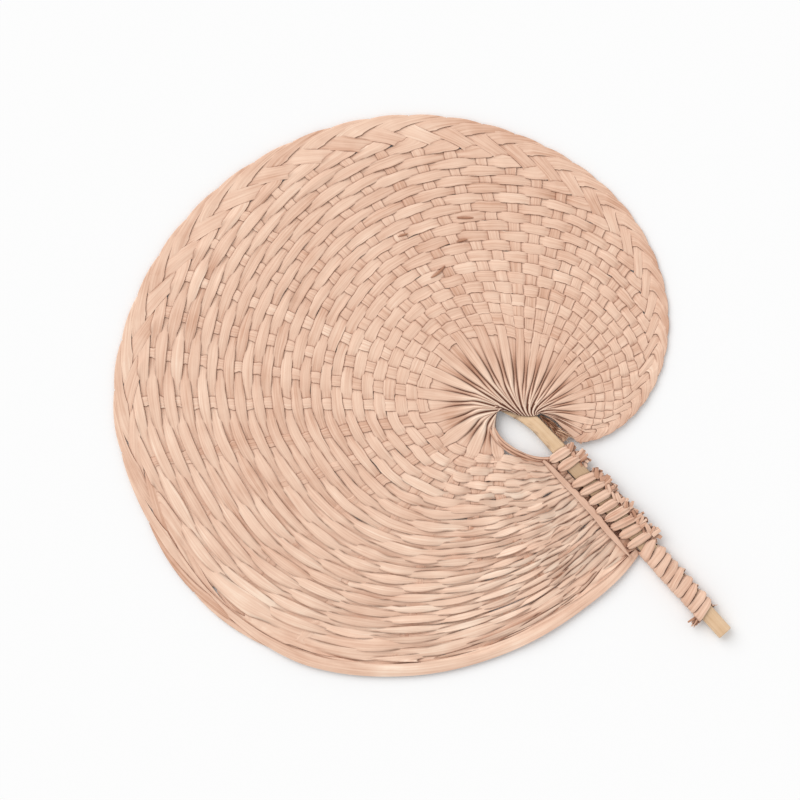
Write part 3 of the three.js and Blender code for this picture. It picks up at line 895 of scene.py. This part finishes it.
# a thin frayed sliver of leaf that starts at a point and curls
def sliver(start, heading, length, width, rise, strip, tone, taper=0.55, point=0.0, thickness=0.25):
    t = np.linspace(0, 1, slivers["rings"])
    turn = np.radians(heading + slivers["curl"] * waver(2000 + strip, 0.0) * t)
    ahead = np.stack([np.cos(turn), np.sin(turn), rise * (1 - slivers["droop"] * t)], -1)
    steps = ahead[:-1] * length / (slivers["rings"] - 1)
    path = np.array(start) + np.concatenate([[[0, 0, 0]], np.cumsum(steps, 0)])
    side = np.stack([-np.sin(turn), np.cos(turn), 0 * t], -1)
    half = width / 2 * (1 - taper * t**2) * (1 - point * (1 - t) ** 3)
    return pathBand(path, side, upward, half, thickness, strip, dome=width * slivers["dome"], tone=tone)


# one of a kind of loose ends, with its look drawn from that kind's spans
def looseEnd(dice, start, kind, strip, **shape):
    *form, tone = (pick(dice, kind[key]) for key in ("heading", "length", "width", "rise", "tone"))
    return sliver(start, *form, strip, tone, **shape)


# Flakes: brown scraps on the weave
flake = {
    "rise": 0.03,
    "tone": 0.08,
    "taper": 0.85,
    "point": 0.8,
    "thickness": 0.3,
    "places": [  # place, direction, length and width
        (50.4, 108.3, 138, 10.0, 2.0),
        (40.2, 99.7, -20, 6.5, 2.0),
        (16.6, 94.3, -10, 11.0, 2.4),
        (16.0, 125.7, 150, 6.0, 1.8),
    ],
}


def flakeBands():
    bands = []
    for j, (x, y, heading, length, width) in enumerate(flake["places"]):
        start = np.array([x, y]) - polar(heading, length / 2)
        height = bladeHeight(start) + leaf["lift"][1] + leaf["thickness"]
        bands.append(sliver(
            (*start, height), heading, length, width, flake["rise"], 680 + j, flake["tone"],
            flake["taper"], flake["point"], flake["thickness"],
        ))
    return bands


addPiece("brownFlakes", flakeBands(), leafFinish, "leaf")


# a closed tube of flattened rings along Y
def tube(y, centre, halfWidth, halfHeight, height, strip, around, squareness=0.5, **facts):
    angle = np.pi * (np.arange(around // 2) + 0.5) / (around // 2)

    def rows(way):
        wave = np.cos(angle[::-1]), way * np.sin(angle)
        x, z = (np.sign(w) * np.abs(w) ** squareness for w in wave)
        flat = [centre[:, None] - halfWidth[:, None] * x, np.broadcast_to(y[:, None], (len(y), len(x)))]
        return np.stack([*flat, height[:, None] + halfHeight[:, None] * z], -1)

    return band(rows(1), rows(-1), strip, **facts)


# Stalk: flattened stick, cut square at its end, running up under the pleats
stalk = {
    "halfWidth": 4.75,
    "halfHeight": 2.5,
    "head": 12.0,
    "offset": -1.2,
    "around": 28,
    "rings": 90,
    "cutEnd": [(0.3, 0.82), (0.0, 0.95), (0.35, 1.0)],  # places from the end and shares of the section
    "cutTones": (0.72, 0.6),
    "cutDepth": 1.2,
    "evenTo": -40.0,  # the section changes only above this
    "centre": [
        (-40, -1.2), (-14, -1.3), (-9, -1.9), (-4, -3.0), (0, -4.8), (4, -7.2), (8, -9.6), (12, -11.4),
    ],
    "width": [
        (-40, 1.0), (-26, 0.93), (-14, 0.9), (-9, 0.93), (-4, 0.93), (0, 0.84), (4, 0.62), (8, 0.42),
        (12, 0.22),
    ],
    "height": [(-40, 1.0), (-14, 1.0), (-9, 0.9), (-4, 0.7), (0, 0.5), (4, 0.36), (8, 0.25)],
    "drop": [(-40, 0.0), (-14, 0.0), (-9, 0.25), (0, 0.9), (8, 1.2)],
    "sway": 0.12,
    "knobs": 0.012,
    "tone": 0.58,
    "toneWander": 0.06,
    "specks": 0.6,  # dark ones on the right, below the hub
    "speckAlong": (-34, -22),
    "speckAcross": (-0.2, 0.6),
    "speckLevel": (0.2, 1.2),
    "lashingShade": 0.3,  # painted shade on the stalk under and between the lashings
    "lashingShadeStart": (-112, -107),
    "lashingShadeEnd": (-39, -34),
}


def stalkBand():
    end = -fan["stalkLength"]
    cutPlaces, cutShares = np.array(stalk["cutEnd"]).T
    rest = np.linspace(end + stalk["cutDepth"], stalk["head"], stalk["rings"])
    y = np.concatenate([end + cutPlaces, rest])
    size = np.concatenate([cutShares, np.ones(len(rest))])
    at = np.maximum(y, stalk["evenTo"])
    knobbly = 1 + stalk["knobs"] * waver(31, y / 14)
    tone = stalk["tone"] + stalk["toneWander"] * waver(32, y / 18)
    tone[:2] = stalk["cutTones"]
    x = np.linspace(-1, 1, stalk["around"] // 2)[None]
    speck = fade(y[:, None], *stalk["speckAlong"]) * fade(x, *stalk["speckAcross"])
    level = waver(33, y[:, None] * 2.3) + waver(34, x * 9 + y[:, None])
    speck = speck * fade(level, *stalk["speckLevel"])
    # painted shade on the stalk under the lashings, mixed in with its real specks
    lashingShade = fade(y, *stalk["lashingShadeStart"]) * (1 - fade(y, *stalk["lashingShadeEnd"]))
    return tube(
        y, follow(stalk["centre"], at) + stalk["sway"] * waver(35, y / 30),
        stalk["halfWidth"] * size * knobbly * follow(stalk["width"], at),
        stalk["halfHeight"] * size * follow(stalk["height"], at),
        hubHeight - follow(stalk["drop"], at), 60, stalk["around"],
        tone=tone[:, None], groove=stalk["specks"] * speck + stalk["lashingShade"] * lashingShade[:, None],
    )


addPiece("stalk", [stalkBand()], stalkFinish, "stalk", "handle_stalk")


# Splint: a split rib laid over the ends of the wefts
splint = {
    "near": -31.0,
    "far": -109.5,
    "offset": -11.9,
    "width": [(0, 0.75), (0.05, 1.25), (0.3, 1.75), (0.55, 2.0), (0.8, 1.65), (0.93, 1.0), (1, 0.3)],
    "thickness": 1.0,
    "height": 6.0,
    "farHeight": 5.6,
    "rings": 60,
    "across": 7,
    "dome": 0.55,
    "tilt": 0.2,
    "sway": 0.45,
    "bow": 0.6,
    "wave": 0.25,
    "tone": 0.6,
    "toneWander": 0.07,
}


def splintBand():
    t = np.linspace(0, 1, splint["rings"])
    y = mix(splint["near"], splint["far"], t)
    x = splint["offset"] + splint["sway"] * waver(41, t * 7) - splint["bow"] * (2 * t - 1) ** 2
    z = mix(splint["height"], splint["farHeight"], t) + splint["wave"] * waver(42, t * 8)
    tone = splint["tone"] + splint["toneWander"] * waver(43, t * 9)
    return pathBand(
        np.stack([x, y, z], -1), rightward, upward, follow(splint["width"], t), splint["thickness"], 61,
        splint["across"], splint["dome"], splint["tilt"] * waver(44, t * 6), tone=tone[:, None],
    )


addPiece("splint", [splintBand()], ribFinish, "rib", "gather_splint")


# Lashings: strips tied round the stalk and the weft ends, with their cut ends left ragged on the right
lashing = {
    "count": 10,
    "width": 5.5,
    "uneven": 0.13,
    "drawnIn": 0.46,  # where it goes round the sides
    "thickness": 0.45,
    "dome": 0.95,
    "tilt": 0.2,
    "folds": 0.27,
    "left": -9.3,
    "leftPlay": (-0.3, 0.5),
    "right": 6.8,
    "rightPlay": (-0.6, 0.6),
    "snugRight": 5.2,  # of the first one, beside the fibre web
    "halfHeight": 2.9,
    "heightWander": 0.04,
    "squareness": (0.75, 0.6),
    "slant": -13.0,
    "slantPlay": (-7, 6),
    "wave": 0.25,
    "rings": 64,
    "across": 13,
    "tone": 0.56,
    "toneSpread": 0.06,
    "toneWander": 0.05,
    "endTaper": 0.3,
    "endThickness": 0.36,
}
# cut ends that stand up on the right, and twisted bits that run on to the next lashing
cutEnds = {
    "count": 8, "firstStrip": 300, "inset": (1.6, 3.6), "along": (-2.0, 1.8), "above": (1.6, 3.4),
    "heading": (-10, 72), "length": (3.8, 6.2), "width": (1.8, 3.2), "rise": (0.1, 0.45),
    "tone": (0.18, 0.68),
}
twists = {
    "count": 6, "firstStrip": 700, "inset": (0.2, 2.2), "along": (0.5, -1.5), "above": (0.8, 2.2),
    "heading": (-125, -60), "length": (5.0, 7.5), "width": (1.8, 3.2), "rise": (-0.1, 0.4),
    "tone": (0.15, 0.66),
}


def lashingBands(i):
    low, high = (np.array(corner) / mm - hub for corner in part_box(f"lashing_{i + 1:02d}"))
    centreY = (low[1] + high[1]) / 2
    dice = np.random.default_rng(70 + i)
    right = lashing["snugRight"] if i == 0 else lashing["right"] + pick(dice, lashing["rightPlay"])
    left = lashing["left"] + pick(dice, lashing["leftPlay"])
    slope = math.tan(math.radians(lashing["slant"] + pick(dice, lashing["slantPlay"])))
    turn = np.linspace(0, 2 * np.pi, lashing["rings"], endpoint=False)
    wave = np.cos(turn), np.sin(turn)
    flatX, flatZ = (np.sign(w) * np.abs(w) ** p for w, p in zip(wave, lashing["squareness"]))
    x = (left + right) / 2 + (right - left) / 2 * flatX
    y = centreY + slope * x + lashing["wave"] * waver(90 + i, turn)
    z = hubHeight + lashing["halfHeight"] * flatZ * (1 + lashing["heightWander"] * waver(80 + i, turn))
    path = np.stack([x, y, z], -1)
    ahead = np.roll(path, -1, 0) - np.roll(path, 1, 0)
    ahead /= np.linalg.norm(ahead, axis=1, keepdims=True)
    side = np.tile([-slope, 1.0, 0.0], (len(turn), 1)) / math.hypot(1, slope)
    out = -np.cross(ahead, side)
    side = np.cross(out, ahead)
    half = lashing["width"] / 2 * (1 - lashing["drawnIn"] * np.abs(wave[0]) ** 3)
    half = half * (1 + lashing["uneven"] * waver(100 + i, turn * 2))
    tilt = lashing["tilt"] * (1 + waver(120 + i, turn))
    tone = lashing["tone"] + dice.normal(0, lashing["toneSpread"])
    tone = tone + lashing["toneWander"] * waver(110 + i, turn * 2)
    bands = [pathBand(
        path, side, out, half, lashing["thickness"], 100 + i, lashing["across"], lashing["dome"], tilt,
        lashing["folds"], closed=True, tone=tone[:, None],
    )]
    rightY = centreY + slope * right
    for kind in (cutEnds, twists):
        for j in range(kind["count"]):
            x = right - pick(dice, kind["inset"])
            y = rightY + pick(dice, kind["along"])
            start = (x, y, hubHeight + pick(dice, kind["above"]))
            bands.append(looseEnd(
                dice, start, kind, kind["firstStrip"] + 10 * i + j,
                taper=lashing["endTaper"], thickness=lashing["endThickness"],
            ))
    return bands


for i in range(lashing["count"]):
    number = f"{i + 1:02d}"
    addPiece("lashingStrip_" + number, lashingBands(i), tiedFinish, "leaf", "lashing_" + number)
print("lashings tied:", lashing["count"])


# Grip: one strip wound round the stalk, each turn lapping the last
grip = {
    "near": -111.0,
    "turns": 9.0,
    "pitch": 6.0,
    "width": 6.9,
    "uneven": 0.12,
    "drawnIn": 0.4,  # at the right side
    "startWidth": 0.6,
    "endWidth": 0.4,
    "thickness": 0.5,
    "halfWidth": 6.2,
    "halfHeight": 3.3,
    "swell": 0.05,
    "slant": 0.16,
    "slantSway": 1.4,
    "wave": 0.45,
    "lap": 0.75,
    "lapSway": 0.7,
    "lapSide": 0.6,
    "dome": 0.55,
    "underside": 0.7,  # by which the strip lies flatter there
    "folds": 0.12,
    "squareness": 0.62,
    "steps": 36,
    "across": 13,
    "tone": 0.56,
    "toneWander": 0.06,
    "tail": (-6.0, -163.5),
}
# frayed bits at the strip's end
tuft = {
    "count": 15, "firstStrip": 450, "around": (-1.2, 1.2), "above": (-1.5, 1.5), "heading": (146, 210),
    "length": (4.0, 7.5), "width": (1.0, 2.2), "rise": (-0.2, 0.3), "tone": (0.05, 0.5),
}


def gripBands():
    count = int(grip["turns"] * grip["steps"]) + 1
    turn = np.linspace(0, grip["turns"], count)
    angle = 2 * np.pi * turn
    wave = np.cos(angle), np.sin(angle)
    flatX, flatZ = (np.sign(w) * np.abs(w) ** grip["squareness"] for w in wave)
    swell = 1 + grip["swell"] * waver(131, turn * 3.1)
    x = stalk["offset"] + grip["halfWidth"] * swell * flatX
    z = hubHeight + grip["halfHeight"] * swell * flatZ
    slant = grip["slant"] * (1 + grip["slantSway"] * waver(136, np.round(turn) * 5.1)) * flatZ
    y = grip["near"] - grip["pitch"] * turn + slant * (x - stalk["offset"])
    y = y + grip["wave"] * waver(132, turn * 4.7)
    path = np.stack([x, y, z], -1)
    out = np.stack([flatX / grip["halfWidth"], 0 * x, flatZ / grip["halfHeight"]], -1)
    out /= np.linalg.norm(out, axis=1, keepdims=True)
    side = np.cross(out, np.gradient(path, axis=0))
    side /= np.linalg.norm(side, axis=1, keepdims=True)
    half = grip["width"] / 2 * (1 + grip["uneven"] * waver(133, turn * 5.3))
    half = half * (1 - grip["drawnIn"] * np.maximum(wave[0], 0) ** 2)
    half = half * mix(grip["startWidth"], 1, ease(turn * 3))
    half = half * mix(grip["endWidth"], 1, ease((grip["turns"] - turn) * 4))
    tone = grip["tone"] + grip["toneWander"] * waver(134, turn * 1.9)
    flat = 1 - grip["underside"] * ease(-1.5 * wave[1])
    lap = grip["lap"] * (1 + grip["lapSway"] * waver(135, turn * 6.1)) * (1 + grip["lapSide"] * wave[0])
    bands = [pathBand(
        path, side, out, half, grip["thickness"], 140, grip["across"], grip["dome"] * flat, lap * flat,
        grip["folds"], tone=tone[:, None],
    )]
    dice = np.random.default_rng(150)
    for j in range(tuft["count"]):
        x, y = np.array(grip["tail"]) + dice.uniform(*tuft["around"], 2)
        start = (x, y, hubHeight + pick(dice, tuft["above"]))
        bands.append(looseEnd(dice, start, tuft, tuft["firstStrip"] + j))
    return bands


addPiece("gripWinding", gripBands(), tiedFinish, "leaf", "grip_winding")


# Web: brown fibre left in the corner between the stalk and the first segment
web = {
    "near": -10.0,
    "far": -31.0,
    "inner": 3.6,
    "outer": [(-31, 8.2), (-22, 7.6), (-14, 6.2), (-10, 4.9)],
    "rings": 24,
    "across": 7,
    "thickness": 0.5,
    "dome": 0.4,
    "wave": 0.6,
    "tone": 0.45,
    "paler": 0.5,  # towards the lashings
    "palerAlong": (0.35, 0.75),
}
webFibre = {
    "count": 70, "firstStrip": 500, "clear": 4.0, "above": (0.5, 1.6), "heading": -82, "headingSpread": 16,
    "length": (3, 8), "width": (0.25, 0.7), "rise": (0, 0.25), "tone": (0.1, 0.8), "palerFrom": (-17, -23),
}


def webBands():
    t = np.linspace(0, 1, web["rings"])
    y = mix(web["near"], web["far"], t)
    outer = follow(web["outer"], y)
    path = np.stack([(outer + web["inner"]) / 2, y, hubHeight + web["wave"] * waver(161, t * 6)], -1)
    tone = web["tone"] + web["paler"] * fade(t, *web["palerAlong"])
    half = (outer - web["inner"]) / 2
    bands = [pathBand(
        path, rightward, upward, half, web["thickness"], 160, web["across"], web["dome"], tone=tone[:, None],
    )]
    dice = np.random.default_rng(162)
    for j in range(webFibre["count"]):
        y = pick(dice, (web["far"] + webFibre["clear"], web["near"]))
        x = mix(web["inner"], float(follow(web["outer"], y)), dice.random())
        start = (x, y, hubHeight + pick(dice, webFibre["above"]))
        heading = dice.normal(webFibre["heading"], webFibre["headingSpread"])
        length, width, rise, tone = (pick(dice, webFibre[key]) for key in ("length", "width", "rise", "tone"))
        tone = tone + web["paler"] * fade(y, *webFibre["palerFrom"])
        bands.append(sliver(start, heading, length, width, rise, webFibre["firstStrip"] + j, tone))
    return bands


addPiece("fibreWeb", webBands(), webFinish, "web", "web_fibre")
print("stalk, splint, grip and fibre made")


# Floor, light and camera
stageSizes = {
    "floor": 5.0,
    "floorShade": 0.97,
    "floorRough": 0.9,
    "skyLevel": 0.68,
    "sunLevel": 0.33,
    "sunTilt": 46.0,
    "sunTurn": 183.0,
    "sunSpread": 50.0,
    "cameraHeight": 1.6,
    "focal": 120.0,
    "sensor": 36.0,
    "turn": -42.2,
    "target": (-51.9, 53.5),
}


def addFloor():
    size = stageSizes["floor"]
    mesh = bpy.data.meshes.new("paleFloor")
    corners = [(x * size, y * size, 0) for x, y in ((-1, -1), (1, -1), (1, 1), (-1, 1))]
    mesh.from_pydata(corners, [], [(0, 1, 2, 3)])
    paint = bpy.data.materials.new("palePaint")
    paint.use_nodes = True
    shader = paint.node_tree.nodes["Principled BSDF"]
    shade = stageSizes["floorShade"]
    shader.inputs["Base Color"].default_value = (shade, shade, shade, 1)
    shader.inputs["Roughness"].default_value = stageSizes["floorRough"]
    shader.inputs["Specular IOR Level"].default_value = 0.0
    mesh.materials.append(paint)
    floor = bpy.data.objects.new("paleFloor", mesh)
    bpy.context.collection.objects.link(floor)


def addLight():
    world = bpy.data.worlds.new("softRoom")
    bpy.context.scene.world = world
    world.use_nodes = True
    tree = world.node_tree
    room = tree.nodes["Background"]
    room.inputs["Color"].default_value = (1, 1, 1, 1)
    room.inputs["Strength"].default_value = stageSizes["skyLevel"]
    # white where the room itself is seen, straight on or in a reflection
    seen = tree.nodes.new("ShaderNodeBackground")
    seen.inputs["Color"].default_value = (1, 1, 1, 1)
    path = tree.nodes.new("ShaderNodeLightPath")
    either = path.outputs["Is Camera Ray"]
    for other in ("Is Glossy Ray", "Is Transmission Ray"):
        more = tree.nodes.new("ShaderNodeMath")
        more.operation = "MAXIMUM"
        tree.links.new(either, more.inputs[0])
        tree.links.new(path.outputs[other], more.inputs[1])
        either = more.outputs[0]
    choice = tree.nodes.new("ShaderNodeMixShader")
    tree.links.new(either, choice.inputs[0])
    tree.links.new(room.outputs[0], choice.inputs[1])
    tree.links.new(seen.outputs[0], choice.inputs[2])
    tree.links.new(choice.outputs[0], tree.nodes["World Output"].inputs["Surface"])
    sun = bpy.data.lights.new("window", "SUN")
    tilt = math.radians(stageSizes["sunTilt"])
    sun.energy = stageSizes["sunLevel"] * math.pi / math.cos(tilt)
    sun.angle = math.radians(stageSizes["sunSpread"])
    lamp = bpy.data.objects.new("window", sun)
    lamp.rotation_euler = (tilt, 0, math.radians(stageSizes["sunTurn"]))
    bpy.context.collection.objects.link(lamp)


def addCamera():
    camera = bpy.data.cameras.new("above")
    camera.lens = stageSizes["focal"]
    camera.sensor_width = stageSizes["sensor"]
    eye = bpy.data.objects.new("above", camera)
    x, y = (hub[:2] + stageSizes["target"]) * mm
    eye.location = (x, y, stageSizes["cameraHeight"] + hubHeight * mm)
    eye.rotation_euler = (0, 0, math.radians(stageSizes["turn"]))
    bpy.context.collection.objects.link(eye)
    bpy.context.scene.camera = eye


addFloor()
addLight()
addCamera()
bpy.context.scene.view_settings.view_transform = "Standard"
print("stage set")
